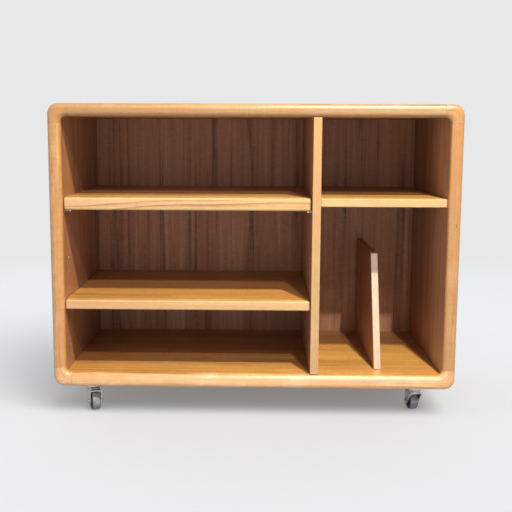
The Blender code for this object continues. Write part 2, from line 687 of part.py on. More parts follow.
def hub_mesh():
    bore = AXLE_RADIUS + RUNNING_CLEARANCE
    boss_end = FORK_INSIDE - HUB_SIDE_CLEARANCE
    rim_outer = WHEEL_RADIUS - TYRE_THICKNESS - GAP
    rim_inner = rim_outer - HUB_RIM_THICKNESS
    rim_end = TYRE_WIDTH / 2 - HUB_RIM_INSET
    boss = bore + HUB_BOSS_THICKNESS
    web = HUB_WEB_SHARE * rim_end
    outer = [(bore, boss_end), (boss, boss_end), (boss, web), (rim_inner, web), (rim_inner, rim_end),
             (rim_outer, rim_end)]
    mirrored = [(radius, -height) for radius, height in reversed(outer)]
    return turned_mesh(outer + mirrored, RING_TURN, ring=True)


def tyre_mesh():
    inner = WHEEL_RADIUS - TYRE_THICKNESS
    half = TYRE_WIDTH / 2
    bend = arc((WHEEL_RADIUS - TYRE_SHOULDER, half - TYRE_SHOULDER), TYRE_SHOULDER, 90, 0, 2)
    mirrored = [(radius, -height) for radius, height in reversed(bend)]
    return turned_mesh([(inner, half)] + bend + mirrored + [(inner, -half)], LARGE_TURN, ring=True)


def build_casters():
    plate, kingpin, fork = plate_mesh(), kingpin_mesh(), fork_mesh()
    axle, hub, tyre = axle_mesh(), hub_mesh(), tyre_mesh()
    for place, side_x, side_y, heading in CASTERS:
        name = f"caster_{place}"
        pivot = (side_x * (WIDTH / 2 - CASTER_INSET_X), side_y * (DEPTH / 2 - CASTER_INSET_Y), 0)
        swivel = new_empty(f"{name}_swivel_axis", pivot, (0, 0, math.radians(heading)))
        roll = new_empty(f"{name}_roll_axis", (0, -TRAIL, WHEEL_RADIUS), (0, math.radians(90), 0), swivel)
        new_part(f"{name}_plate", plate, ZINC, pivot, smooth=30)
        new_part(f"{name}_kingpin", kingpin, ZINC, pivot, smooth=40)
        new_part(f"{name}_fork", fork, ZINC, parent=swivel, smooth=30)
        new_part(f"{name}_axle", axle, ZINC, parent=roll, smooth=40)
        new_part(f"{name}_hub", hub, NYLON, parent=roll, smooth=40)
        new_part(f"{name}_tyre", tyre, RUBBER, parent=roll, smooth=40)


build_front_frame()
build_carcase()
build_partition()
build_shelves()
build_divider()
build_studs()
build_casters()
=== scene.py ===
"""Looks of a low teak bookcase: finishes, a finer frame and casters, light and camera.

Metres, +Z up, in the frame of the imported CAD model: the open front faces -Y.
"""

import json
import math
import random

import bmesh
import bpy
from mathutils import Matrix, Vector


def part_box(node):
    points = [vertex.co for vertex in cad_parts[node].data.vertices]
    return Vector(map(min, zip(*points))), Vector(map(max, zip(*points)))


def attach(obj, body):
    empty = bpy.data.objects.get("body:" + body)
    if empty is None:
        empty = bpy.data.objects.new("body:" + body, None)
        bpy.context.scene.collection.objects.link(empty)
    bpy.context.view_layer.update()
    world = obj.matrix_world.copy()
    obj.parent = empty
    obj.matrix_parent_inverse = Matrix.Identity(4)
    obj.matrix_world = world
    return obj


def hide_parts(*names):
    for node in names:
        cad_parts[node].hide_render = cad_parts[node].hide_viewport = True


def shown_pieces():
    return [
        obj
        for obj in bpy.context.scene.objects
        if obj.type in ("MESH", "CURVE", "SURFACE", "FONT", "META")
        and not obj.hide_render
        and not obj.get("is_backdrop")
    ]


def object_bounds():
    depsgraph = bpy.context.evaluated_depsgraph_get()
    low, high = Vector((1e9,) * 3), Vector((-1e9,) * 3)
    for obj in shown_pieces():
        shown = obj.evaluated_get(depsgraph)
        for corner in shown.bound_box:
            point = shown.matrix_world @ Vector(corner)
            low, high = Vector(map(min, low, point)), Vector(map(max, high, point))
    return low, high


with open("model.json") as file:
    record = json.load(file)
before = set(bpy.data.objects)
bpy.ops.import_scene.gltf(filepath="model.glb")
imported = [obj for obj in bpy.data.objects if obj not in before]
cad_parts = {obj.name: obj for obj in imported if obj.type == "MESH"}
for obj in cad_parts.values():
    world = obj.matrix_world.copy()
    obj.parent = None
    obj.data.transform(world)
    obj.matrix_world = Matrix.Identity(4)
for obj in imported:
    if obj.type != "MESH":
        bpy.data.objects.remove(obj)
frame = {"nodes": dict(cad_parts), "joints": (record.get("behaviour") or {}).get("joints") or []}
CAD_LOW, CAD_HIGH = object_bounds()
NODES = frame["nodes"]
JOINTS = {joint["name"]: joint for joint in frame["joints"]}
DICE = random.Random(7)

# Front frame
FRAME_FRONT = CAD_LOW[1]
FRAME_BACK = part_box("frame_stile_left")[1].y
NOSE_RADIUS = 0.011
CORNER_RADIUS = 0.022
NOSE_STEPS = 14
CORNER_STEPS = 36
STRAIGHT_STEPS = 60

# The clearance round anything that turns, as in the CAD model
GAP = 0.0003

# Studs, and the rows of empty holes: each row's first hole above the underside, and its count
STUD_HEAD = 0.008 - GAP
STUD_STEM_RADIUS = 0.0025
STUD_DOME = 0.0012
HOLE_PITCH = 0.032
HOLE_ROWS = ((0.0785, 2), (0.2065, 3))

# Casters, as in the CAD model
PLACES = ("front_left", "front_right", "rear_left", "rear_right")
AXLE_PLACE = Vector(JOINTS["front_left_roll"]["pos_m"])
WHEEL_RADIUS = AXLE_PLACE.z
TRAIL = (AXLE_PLACE - Vector(JOINTS["front_left_swivel"]["pos_m"])).xy.length
TYRE_THICKNESS = 0.005
TYRE_HALF_WIDTH = 0.009
TYRE_SHOULDER = 0.0032
TREAD_START = WHEEL_RADIUS - 0.0016
TREAD_FADE = 0.0010
FORK_THICKNESS = 0.002
FORK_INSIDE = 0.0112
FORK_EYE_RADIUS = 0.0065
FORK_BEND_RADIUS = 0.0035
FORK_HEEL = 0.0135
CROWN_LOW = 0.0405
RACE_HEIGHT = 0.003
RACE_RADIUS = 0.0140
CUP_RADIUS = 0.018
KINGPIN_RADIUS = 0.004
AXLE_RADIUS = 0.003
AXLE_HEAD_RADIUS = 0.0052
AXLE_HEAD_THICKNESS = 0.0022
AXLE_MATRIX = Matrix.Translation((0, -TRAIL, WHEEL_RADIUS)) @ Matrix.Rotation(math.pi / 2, 4, "Y")
PLATE_THICKNESS = 0.0025
PLATE_CORNER = 0.006
PLATE_SCREW_OFFSET = 0.016


# ---- mesh helpers

def add_object(name, data):
    obj = bpy.data.objects.new(name, data)
    bpy.context.scene.collection.objects.link(obj)
    return obj


def finish_piece(name, mesh, material, body, replaced=(), crease=35):
    """Puts a mesh in the scene as a piece that rides on a CAD body, smooth below crease degrees."""
    mesh.name = name
    mesh.materials.clear()
    mesh.materials.append(material)
    mesh.shade_smooth()
    mesh.set_sharp_from_angle(angle=math.radians(crease))
    piece = add_object(name, mesh)
    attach(piece, body)
    if replaced:
        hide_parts(*replaced)
    return piece


def ease_edges(piece, width):
    """A small round on every sharp edge."""
    bevel = piece.modifiers.new("eased edges", "BEVEL")
    bevel.width = width
    bevel.segments = 2
    bevel.limit_method = "ANGLE"
    bevel.angle_limit = math.radians(30)


def combine(mesh, other, operation):
    """The boolean of two meshes, as a new mesh."""
    base, tool = add_object("base", mesh), add_object("tool", other)
    boolean = base.modifiers.new("combine", "BOOLEAN")
    boolean.operation = operation
    boolean.solver = "EXACT"
    boolean.object = tool
    bpy.context.view_layer.update()
    graph = bpy.context.evaluated_depsgraph_get()
    result = bpy.data.meshes.new_from_object(base.evaluated_get(graph))
    for obj in (base, tool):
        bpy.data.objects.remove(obj)
    return result


def bm_mesh(bm):
    """A new mesh with its faces turned outwards; frees the bmesh."""
    bmesh.ops.recalc_face_normals(bm, faces=bm.faces)
    mesh = bpy.data.meshes.new("shape")
    bm.to_mesh(mesh)
    bm.free()
    return mesh


def lathe(profile, segments, ring=False):
    """A profile of (radius, height) turned about Z; points on the axis become poles.

    A ring's profile closes on itself."""
    bm = bmesh.new()
    rows = []
    for radius, height in profile:
        if radius == 0:
            rows.append([bm.verts.new((0, 0, height))])
            continue
        row = []
        for step in range(segments):
            angle = 2 * math.pi * step / segments
            row.append(bm.verts.new((radius * math.cos(angle), radius * math.sin(angle), height)))
        rows.append(row)
    pairs = list(zip(rows, rows[1:]))
    if ring:
        pairs.append((rows[-1], rows[0]))
    for first, second in pairs:
        for step in range(segments):
            after = (step + 1) % segments
            if len(first) == 1:
                bm.faces.new((first[0], second[step], second[after]))
            elif len(second) == 1:
                bm.faces.new((first[step], first[after], second[0]))
            else:
                bm.faces.new((first[step], first[after], second[after], second[step]))
    return bm_mesh(bm)


def arc(centre, radius, start, end, steps):
    """Points on a circle from one angle to another, in degrees."""
    points = []
    for step in range(steps + 1):
        angle = math.radians(start + (end - start) * step / steps)
        points.append((centre[0] + radius * math.cos(angle), centre[1] + radius * math.sin(angle)))
    return points


def mirrored(half):
    """A half profile, from the axis or the bore outwards, and its mirror below."""
    return half + [(radius, -height) for radius, height in reversed(half)]


def prism(points, place):
    """A flat outline made thick between place(point, 0) and place(point, 1)."""
    bm = bmesh.new()
    ends = [[bm.verts.new(place(point, end)) for point in points] for end in (0, 1)]
    bm.faces.new(ends[0])
    bm.faces.new(ends[1])
    for index in range(len(points)):
        after = (index + 1) % len(points)
        bm.faces.new((ends[0][index], ends[0][after], ends[1][after], ends[1][index]))
    return bm_mesh(bm)


def merged(meshes):
    bm = bmesh.new()
    for mesh in meshes:
        bm.from_mesh(mesh)
    return bm_mesh(bm)


def upright_at(mesh, pivot):
    """Moves a mesh made about Z to stand on a caster's pivot."""
    mesh.transform(Matrix.Translation((pivot.x, pivot.y, 0)))
    return mesh


def moved(mesh, matrix):
    copy = mesh.copy()
    copy.transform(matrix)
    return copy


# ---- shader helpers

class Graph:
    """Adds nodes to one node tree; a value may be a number, a tuple or another node's output."""

    def __init__(self, tree):
        self.tree = tree

    def node(self, kind, inputs=None, **settings):
        node = self.tree.nodes.new(kind)
        for name, value in settings.items():
            setattr(node, name, value)
        for key, value in (inputs or {}).items():
            self.put(node.inputs[key], value)
        return node

    def put(self, socket, value):
        if isinstance(value, bpy.types.NodeSocket):
            self.tree.links.new(value, socket)
        else:
            socket.default_value = value

    def object_place(self):
        """The place on the object, in metres."""
        return self.node("ShaderNodeTexCoord").outputs["Object"]

    def bump(self, shader, height, strength, distance, **normal):
        """Gives the shader a bumped normal; distance is the relief in metres."""
        node = self.node("ShaderNodeBump", {"Height": height, "Strength": strength,
                                            "Distance": distance, **normal})
        self.put(shader.inputs["Normal"], node.outputs[0])

    def math(self, operation, *values):
        return self.node("ShaderNodeMath", dict(enumerate(values)), operation=operation).outputs[0]

    def vector(self, operation, *values):
        node = self.node("ShaderNodeVectorMath", dict(enumerate(values)), operation=operation)
        return node.outputs["Value" if operation in ("LENGTH", "DOT_PRODUCT") else "Vector"]

    def noise(self, vector, stretch, detail=1.0, roughness=0.5, distortion=0.0):
        """Noise from 0 to 1; stretch is how many waves there are in a metre, on each axis."""
        scaled = self.vector("MULTIPLY", vector, stretch)
        node = self.node("ShaderNodeTexNoise", {
            "Vector": scaled, "Scale": 1.0, "Detail": detail, "Roughness": roughness,
            "Distortion": distortion})
        return node.outputs["Fac"]

    def swing(self, *noise):
        """Noise about 0."""
        return self.math("SUBTRACT", self.noise(*noise), 0.5)

    def fit(self, value, low, high, to_low=0.0, to_high=1.0, smooth=True):
        """value taken from the range low..high to the range to_low..to_high, and held there."""
        node = self.node("ShaderNodeMapRange", {
            "Value": value, "From Min": low, "From Max": high, "To Min": to_low, "To Max": to_high})
        node.interpolation_type = "SMOOTHSTEP" if smooth else "LINEAR"
        return node.outputs["Result"]

    def mix(self, factor, first, second):
        node = self.node("ShaderNodeMix", data_type="RGBA")
        self.put(node.inputs[0], factor)
        for socket, value in ((node.inputs[6], first), (node.inputs[7], second)):
            self.put(socket, (*value, 1.0) if isinstance(value, tuple) else value)
        return node.outputs[2]

    def weighted(self, start, *terms):
        """start plus the sum of value times weight."""
        total = start
        for value, weight in terms:
            total = self.math("MULTIPLY_ADD", value, weight, total)
        return total


def new_material(name):
    material = bpy.data.materials.new(name)
    material.use_nodes = True
    tree = material.node_tree
    shader = tree.nodes["Principled BSDF"]
    return material, Graph(tree), shader


def edge_mask(graph, radius):
    """0 on flat faces, rising to 1 on convex and concave edges, and the rounded normal."""
    bevel = graph.node("ShaderNodeBevel", {"Radius": radius}, samples=6)
    geometry = graph.node("ShaderNodeNewGeometry")
    facing = graph.vector("DOT_PRODUCT", bevel.outputs[0], geometry.outputs["Normal"])
    return graph.fit(facing, 1.0, 0.90), bevel.outputs[0]


# ---- wood

def wood_group():
    """Teak figure from grain coordinates: x along the grain, y and z across it, in metres.

    Tone runs from about 0, dark, to 1, light."""
    group = bpy.data.node_groups.new("teak figure", "ShaderNodeTree")
    face = group.interface
    face.new_socket("Grain", in_out="INPUT", socket_type="NodeSocketVector")
    face.new_socket("Pith", in_out="INPUT", socket_type="NodeSocketVector")
    for name in ("Rings", "Ring Strength", "Warp", "Ripple", "Streaks", "Bands"):
        face.new_socket(name, in_out="INPUT", socket_type="NodeSocketFloat")
    for name in ("Tone", "Pores", "Height"):
        face.new_socket(name, in_out="OUTPUT", socket_type="NodeSocketFloat")
    g = Graph(group)
    given = g.node("NodeGroupInput").outputs
    grain = given["Grain"]
    # growth rings about the pith, which wander along the board
    warp = g.math("MULTIPLY", g.swing(grain, (2.2, 9.0, 9.0)), given["Warp"])
    wobble = g.math("MULTIPLY", g.swing(grain, (11.0, 55.0, 55.0), 2.0), 0.0035)
    from_pith = g.node("ShaderNodeSeparateXYZ", {0: g.vector("ADD", grain, given["Pith"])}).outputs
    across = g.math("ADD", from_pith["Y"], warp)
    flat = g.node("ShaderNodeCombineXYZ", {"Y": across, "Z": from_pith["Z"]}).outputs[0]
    distance = g.math("ADD", g.vector("LENGTH", flat), wobble)
    count = g.math("MULTIPLY", distance, given["Rings"])
    ring = g.math("FRACT", count)
    number = g.math("FLOOR", count)
    each = g.node("ShaderNodeTexWhiteNoise", {"W": number}, noise_dimensions="1D").outputs["Value"]
    late = g.math("MULTIPLY", g.math("POWER", ring, 2.6), g.fit(ring, 1.0, 0.93))
    late = g.math("MULTIPLY", late, g.fit(each, 0.0, 1.0, 0.25, 1.25, smooth=False))
    # broad bands, streaks and fibres along the grain
    bands = g.swing(grain, (0.9, 24.0, 24.0), 2.0, 0.6)
    grades = g.swing(grain, (2.0, 85.0, 85.0), 2.0, 0.6)
    veins = g.fit(g.noise(grain, (1.3, 110.0, 110.0), 2.0, 0.55), 0.58, 0.74)
    streaks = g.swing(grain, (5.0, 230.0, 230.0), 3.0, 0.6)
    fibres = g.swing(grain, (22.0, 1300.0, 1300.0), 2.0, 0.7)
    # figure across the grain
    ripple = g.swing(grain, (250.0, 42.0, 42.0), 1.0, 0.5, 0.6)
    mottle = g.swing(grain, (38.0, 60.0, 60.0), 2.0, 0.55)
    # short open pores, mostly in the late wood
    pores = g.fit(g.noise(grain, (95.0, 2100.0, 2100.0), 0.0), 0.63, 0.72)
    pores = g.math("MULTIPLY", pores, g.fit(ring, 0.2, 1.0, 0.45, 1.0))
    dark = g.math("MULTIPLY", given["Ring Strength"], -1.0)
    tone = g.weighted(0.55, (bands, given["Bands"]), (grades, given["Bands"]),
                      (streaks, given["Streaks"]), (fibres, 0.34), (mottle, 0.16),
                      (ripple, given["Ripple"]), (late, dark),
                      (veins, g.math("MULTIPLY", given["Bands"], -0.30)))
    height = g.weighted(0.5, (fibres, 0.5), (streaks, 0.25), (late, -0.25), (pores, -0.9),
                        (ripple, 0.15))
    g.node("NodeGroupOutput", {"Tone": tone, "Pores": pores, "Height": height})
    return group


WOOD = wood_group()

# The dark, middle and light colours of each kind of teak
FRAME_TONES = ((0.208, 0.085, 0.027), (0.375, 0.198, 0.070), (0.494, 0.308, 0.140))
LIP_TONES = ((0.287, 0.146, 0.069), (0.494, 0.331, 0.168), (0.631, 0.473, 0.280))
PALE_LIP_TONES = ((0.313, 0.181, 0.138), (0.454, 0.322, 0.264), (0.551, 0.436, 0.385))
VENEER_TONES = ((0.162, 0.068, 0.029), (0.437, 0.225, 0.070), (0.614, 0.370, 0.118))
WALL_TONES = ((0.166, 0.070, 0.043), (0.375, 0.185, 0.097), (0.499, 0.284, 0.148))
BACK_TONES = ((0.177, 0.085, 0.050), (0.503, 0.274, 0.160), (0.694, 0.423, 0.261))
UNDERSIDE_TONES = ((0.075, 0.060, 0.048), (0.150, 0.125, 0.102), (0.215, 0.185, 0.155))
REDDER = (1.08, 0.80, 0.72)
PINKER = (1.02, 0.97, 1.25)
PORE_SHADE = (0.45, 0.45, 0.45)
BRUISE_COLOUR = (0.09, 0.04, 0.02)
VENEER_THICKNESS = 0.0006
LEAF_STEP = 0.011


def scaled(tone, factors):
    return tuple(value * factor for value, factor in zip(tone, factors))


def tinted(tones, factors):
    return tuple(scaled(tone, factors) for tone in tones)


# Axes of a board as (along the grain, across it, into it)
AXES = {"X": ("X", "Y", "Z"), "XZ": ("X", "Z", "Y"), "Y": ("Y", "X", "Z"), "Z": ("Z", "Y", "X"),
        "ZX": ("Z", "X", "Y")}


def grain_from_object(graph, axes, leaf):
    """Grain coordinates from the object's own metres.

    leaf is the width of the veneer's book-matched leaves, each cut a little deeper than the last,
    or 0 for a board in one piece."""
    place = graph.object_place()
    parts = graph.node("ShaderNodeSeparateXYZ", {0: place}).outputs
    along, across, into = (parts[name] for name in AXES[axes])
    if leaf:
        number = graph.math("FLOOR", graph.math("DIVIDE", across, leaf))
        across = graph.math("PINGPONG", across, leaf)
        into = graph.math("MULTIPLY_ADD", number, LEAF_STEP, into)
    return graph.node("ShaderNodeCombineXYZ", {"X": along, "Y": across, "Z": into}).outputs[0]


def wood_material(name, tones, axes, pith, rings, ring_strength, warp=0.03, ripple=0.10,
                  streaks=0.42, bands=0.42, flame=0.25, leaf=0.0, roughness=0.40, coat=0.22,
                  coat_roughness=0.27, edge=0.0010, wear=0.55, marks=(), outside=None):
    """Oiled teak.

    axes is a key of AXES, or None for a mesh that carries its own grain coordinates. pith is
    the way to the heart of the log, in metres, and rings is how many it has in a metre. edge is
    how far in the rubbed edges reach, and wear is how pale they are. marks are small dark bruises,
    each a place and a size in metres. outside is the veneer of the hidden face: its tones, that
    face's axis and sign, and where on the axis it begins."""
    material, g, shader = new_material(name)
    if axes:
        grain = grain_from_object(g, axes, leaf)
    else:
        grain = g.node("ShaderNodeAttribute", attribute_name="grain").outputs["Vector"]
    grain = g.vector("ADD", grain, (DICE.uniform(-3, 3), 0.0, 0.0))
    figure = g.node("ShaderNodeGroup", {
        "Grain": grain, "Pith": pith, "Rings": rings, "Ring Strength": ring_strength, "Warp": warp,
        "Ripple": ripple, "Streaks": streaks, "Bands": bands}, node_tree=WOOD)
    tone, pores, height = (figure.outputs[key] for key in ("Tone", "Pores", "Height"))
    dark, middle, light = tones
    if outside:
        outer_tones, axis, sign, start = outside
        place = g.node("ShaderNodeSeparateXYZ", {0: g.object_place()})
        outer = g.math("GREATER_THAN", g.math("MULTIPLY", place.outputs[axis], sign), start * sign)
        dark, middle, light = (g.mix(outer, own, other) for own, other in zip(tones, outer_tones))
    colour = g.mix(g.fit(tone, 0.12, 0.52), dark, middle)
    colour = g.mix(g.fit(tone, 0.48, 0.90), colour, light)
    colour = g.mix(g.math("MULTIPLY", pores, 0.45), colour, scaled(tones[0], PORE_SHADE))
    # redder and pinker patches, as teak ages
    patches = g.noise(grain, (2.5, 14.0, 14.0), 2.0)
    colour = g.mix(g.fit(patches, 0.35, 0.75, 0.0, 0.42), colour, scaled(tones[1], REDDER))
    flames = g.noise(grain, (15.0, 38.0, 38.0), 3.0, 0.6)
    colour = g.mix(g.fit(flames, 0.50, 0.78, 0.0, flame), colour, scaled(tones[2], PINKER))
    # handled edges are rubbed paler, with broken patches
    edges, rounded = edge_mask(g, edge)
    worn = g.noise(grain, (60.0, 160.0, 160.0), 3.0, 0.65)
    rub = g.math("MULTIPLY", edges, g.fit(worn, 0.38, 0.62, 0.15 * wear, wear))
    colour = g.mix(rub, colour, tuple(min(0.92, value * 1.18 + 0.04) for value in tones[2]))
    for place, size in marks:
        spot = g.object_place()
        stretched = g.vector("DIVIDE", g.vector("SUBTRACT", spot, place), size)
        ragged = g.math("MULTIPLY_ADD", g.noise(spot, (900.0, 900.0, 900.0), 2.0), 0.6,
                        g.vector("LENGTH", stretched))
        colour = g.mix(g.fit(ragged, 1.35, 0.95, 0.0, 0.75), colour, BRUISE_COLOUR)
    g.put(shader.inputs["Base Color"], colour)
    haze = g.swing(grain, (9.0, 18.0, 18.0), 3.0, 0.6)
    dull = g.weighted(roughness, (haze, 0.22), (pores, 0.25), (rub, -0.08),
                      (g.math("SUBTRACT", tone, 0.5), -0.10))
    g.put(shader.inputs["Roughness"], g.math("MAXIMUM", dull, 0.12))
    shader.inputs["Coat Weight"].default_value = coat
    shader.inputs["Coat Roughness"].default_value = coat_roughness
    shader.inputs["Specular IOR Level"].default_value = 0.42
    g.bump(shader, height, 0.30, 0.0005, Normal=rounded)
    return material


# ---- metal, rubber and nylon

CASTER_EDGE = 0.0005


def metal_material(name, clean, stained, roughness, stain, scratch=0.5):
    """Plated metal, clouded with stain and finely scratched."""
    material, g, shader = new_material(name)
    place = g.object_place()
    cloud = g.noise(place, (160.0, 160.0, 160.0), 4.0, 0.62)
    speck = g.noise(place, (1300.0, 1300.0, 1300.0), 2.0, 0.6)
    scratches = g.noise(place, (2600.0, 160.0, 300.0), 2.0, 0.6, 0.3)
    dirt = g.fit(g.weighted(0.0, (cloud, 0.75), (speck, 0.25)), 0.46, 0.66, 0.0, stain)
    colour = g.mix(dirt, clean, stained)
    edges, rounded = edge_mask(g, CASTER_EDGE)
    bright = tuple(min(0.95, value * 1.25) for value in clean)
    colour = g.mix(g.math("MULTIPLY", edges, 0.5), colour, bright)
    g.put(shader.inputs["Base Color"], colour)
    shader.inputs["Metallic"].default_value = 1.0
    lines = g.fit(scratches, 0.55, 0.70)
    rough = g.weighted(roughness, (dirt, 0.35), (g.math("SUBTRACT", speck, 0.5), 0.12),
                       (lines, 0.12 * scratch))
    g.put(shader.inputs["Roughness"], g.math("MAXIMUM", rough, 0.08))
    height = g.weighted(0.5, (speck, 0.25), (lines, -0.35 * scratch), (dirt, 0.2))
    g.bump(shader, height, 0.25, 0.0002, Normal=rounded)
    return material


def rubber_material(name):
    """Grey rubber: scuffed pale where it runs on the floor, darker on its sides."""
    material, g, shader = new_material(name)
    place = g.object_place()
    tread = g.node("ShaderNodeAttribute", attribute_name="tread").outputs["Fac"]
    grit = g.noise(place, (900.0, 900.0, 900.0), 4.0, 0.7)
    smear = g.noise(place, (220.0, 220.0, 220.0), 3.0, 0.6)
    rub = g.math("MULTIPLY", tread, g.fit(smear, 0.30, 0.62, 0.35, 1.0))
    colour = g.mix(rub, (0.040, 0.043, 0.050), (0.205, 0.222, 0.255))
    colour = g.mix(g.fit(grit, 0.56, 0.74, 0.0, 0.65), colour, (0.42, 0.42, 0.44))
    colour = g.mix(g.fit(smear, 0.62, 0.80, 0.0, 0.5), colour, (0.035, 0.035, 0.04))
    g.put(shader.inputs["Base Color"], colour)
    g.put(shader.inputs["Roughness"], g.weighted(0.55, (grit, 0.25), (rub, 0.15)))
    height = g.weighted(0.5, (grit, 0.6), (smear, 0.3))
    g.bump(shader, height, 0.35, 0.0004)
    return material


def nylon_material(name):
    """Dark moulded nylon with dust in its dull patches."""
    material, g, shader = new_material(name)
    place = g.object_place()
    grain = g.noise(place, (1500.0, 1500.0, 1500.0), 2.0, 0.6)
    dust = g.noise(place, (260.0, 260.0, 260.0), 3.0, 0.6)
    edges, rounded = edge_mask(g, CASTER_EDGE)
    colour = g.mix(g.fit(dust, 0.45, 0.75, 0.0, 0.55), (0.055, 0.056, 0.062), (0.16, 0.155, 0.15))
    colour = g.mix(g.math("MULTIPLY", edges, 0.4), colour, (0.24, 0.24, 0.25))
    g.put(shader.inputs["Base Color"], colour)
    g.put(shader.inputs["Roughness"], g.weighted(0.36, (grain, 0.15), (dust, 0.2)))
    g.bump(shader, grain, 0.2, 0.0002, Normal=rounded)
    return material


ZINC = metal_material("zinc plated steel", (0.66, 0.655, 0.60), (0.30, 0.285, 0.225), 0.30, 0.75)
DARK_ZINC = metal_material("dulled zinc", (0.46, 0.455, 0.40), (0.20, 0.19, 0.15), 0.38, 0.8)
NICKEL = metal_material("bright nickel", (0.80, 0.79, 0.77), (0.55, 0.53, 0.50), 0.14, 0.35, 0.3)
PALE_NICKEL = metal_material("pale nickel", (0.60, 0.58, 0.54), (0.42, 0.40, 0.36), 0.36, 0.3, 0.3)
BRASS = metal_material("aged brass", (0.70, 0.52, 0.26), (0.28, 0.17, 0.08), 0.28, 0.7)
RUBBER = rubber_material("worn grey rubber")
NYLON = nylon_material("dark nylon")


# ---- boards that stay as in the CAD model

SIDE_VENEER = tinted(VENEER_TONES, (0.93, 0.85, 0.90))
# The veneer of each hidden face: its tones, the axis that the face is on, and which end of it
OUTSIDES = {
    "side_left": (SIDE_VENEER, "X", -1),
    "side_right": (SIDE_VENEER, "X", 1),
    "back_panel": (tinted(VENEER_TONES, (0.80, 0.70, 0.72)), "Y", 1),
    "bottom_panel": (UNDERSIDE_TONES, "Z", -1),
}
SHELF_LOOK = dict(rings=170, ring_strength=0.28, streaks=0.55, bands=0.62)
WALL_LOOK = dict(rings=140, ring_strength=0.26, streaks=0.60, bands=0.62)
BOARDS = {
    "top_panel": ("X", VENEER_TONES, dict(pith=(0, 0.10, 0.62), rings=150, ring_strength=0.25,
                                          warp=0.040, streaks=0.50, leaf=0.13)),
    "bottom_panel": ("X", VENEER_TONES, dict(SHELF_LOOK, pith=(0, 0.55, 0.35))),
    "side_left": ("Z", WALL_TONES, dict(WALL_LOOK, pith=(0, 0.42, 0.75))),
    "side_right": ("Z", WALL_TONES, dict(WALL_LOOK, pith=(0, 0.50, 0.10))),
    "partition": ("Z", WALL_TONES, dict(WALL_LOOK, pith=(0, 0.46, 0.30))),
    "back_panel": ("ZX", BACK_TONES, dict(pith=(0, 0.085, 0.06), rings=70, ring_strength=0.13,
                                          warp=0.09, ripple=0.22, streaks=0.36, bands=0.80,
                                          flame=0.12, leaf=0.127, roughness=0.50, coat=0.08)),
    "upper_shelf_board": ("X", VENEER_TONES, dict(SHELF_LOOK, pith=(0, 0.36, 0.50), bands=0.95)),
    "lower_shelf_board": ("X", VENEER_TONES, dict(SHELF_LOOK, pith=(0, 0.44, 0.20))),
    "right_shelf_board": ("X", VENEER_TONES, dict(SHELF_LOOK, pith=(0, 0.52, 0.30), bands=0.85)),
    "divider_board": ("Z", WALL_TONES, dict(WALL_LOOK, pith=(0, 0.40, 0.35))),
}
LIP_LOOK = dict(edge=0.0014, wear=0.35)
LIPS = {
    "upper_shelf_lip": ("XZ", LIP_TONES, dict(LIP_LOOK, pith=(0, -0.42, 0.20), rings=120,
                                              ring_strength=0.46, warp=0.09, ripple=0.06)),
    "lower_shelf_lip": ("XZ", LIP_TONES, dict(LIP_LOOK, pith=(0, 0.30, 0.60), rings=150,
                                              ring_strength=0.16)),
    "right_shelf_lip": ("XZ", LIP_TONES, dict(LIP_LOOK, pith=(0, -0.38, 0.40), rings=140,
                                              ring_strength=0.22, warp=0.04)),
    # the partition's lipping is a darker copy of the lips' tones, as painted shade
    "partition_lipping": ("ZX", tinted(LIP_TONES, (0.88, 0.85, 0.83)),
                          dict(LIP_LOOK, pith=(0, 0.60, 0.25), rings=170, ring_strength=0.20,
                               warp=0.02, streaks=0.34, bands=0.22)),
    "divider_lipping": ("ZX", PALE_LIP_TONES, dict(LIP_LOOK, pith=(0, 0.50, 0.25), rings=170,
                                                   ring_strength=0.20, warp=0.02, ripple=0.12)),
}
CORNER_POST_LOOK = dict(pith=(0, 0.07, 0.10), rings=210, ring_strength=0.28, warp=0.02)


def repaint(node, material):
    """Gives a carried-over CAD node its finish."""
    obj = NODES[node]
    obj.data.materials.clear()
    obj.data.materials.append(material)


def outside_of(node):
    """The hidden face's veneer for wood_material, which begins one thickness inside the face."""
    if node not in OUTSIDES:
        return None
    tones, axis, sign = OUTSIDES[node]
    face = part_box(node)[1 if sign > 0 else 0]["XYZ".index(axis)]
    return tones, axis, sign, face - sign * VENEER_THICKNESS


def finish_boards():
    for node, (axes, tones, look) in {**BOARDS, **LIPS}.items():
        repaint(node, wood_material(f"{node} teak", tones, axes, outside=outside_of(node), **look))
    for level in ("top", "bottom"):
        for side in ("left", "right"):
            material = wood_material(f"corner post {level} {side}", FRAME_TONES, "Y",
                                     **CORNER_POST_LOOK)
            repaint(f"corner_post_{level}_{side}", material)


# ---- bullnosed front frame

def nose_section(outer, inner):
    """Points from the back of the outer edge, over the round front, to the back of the inner."""
    outer, inner = Vector(outer), Vector(inner)
    width = (inner - outer).length
    across = (inner - outer) / width
    spread = [(0.0, FRAME_BACK)]
    for step in range(NOSE_STEPS + 1):
        angle = math.radians(90 * step / NOSE_STEPS)
        spread.append((NOSE_RADIUS * (1 - math.cos(angle)),
                       FRAME_FRONT + NOSE_RADIUS * (1 - math.sin(angle))))
    spread += [(width - offset, y) for offset, y in reversed(spread)]
    points = []
    for offset, y in spread:
        place = outer + across * offset
        points.append(((place.x, y, place.y), offset))
    return points


def straight_stations(low, high, outer, inner, upright):
    """Matching points on the outer and the inner edge of a stile or a rail."""
    stations = []
    for step in range(STRAIGHT_STEPS + 1):
        along = low + (high - low) * step / STRAIGHT_STEPS
        edges = [(edge, along) if upright else (along, edge) for edge in (outer, inner)]
        stations.append((*edges, along))
    return stations


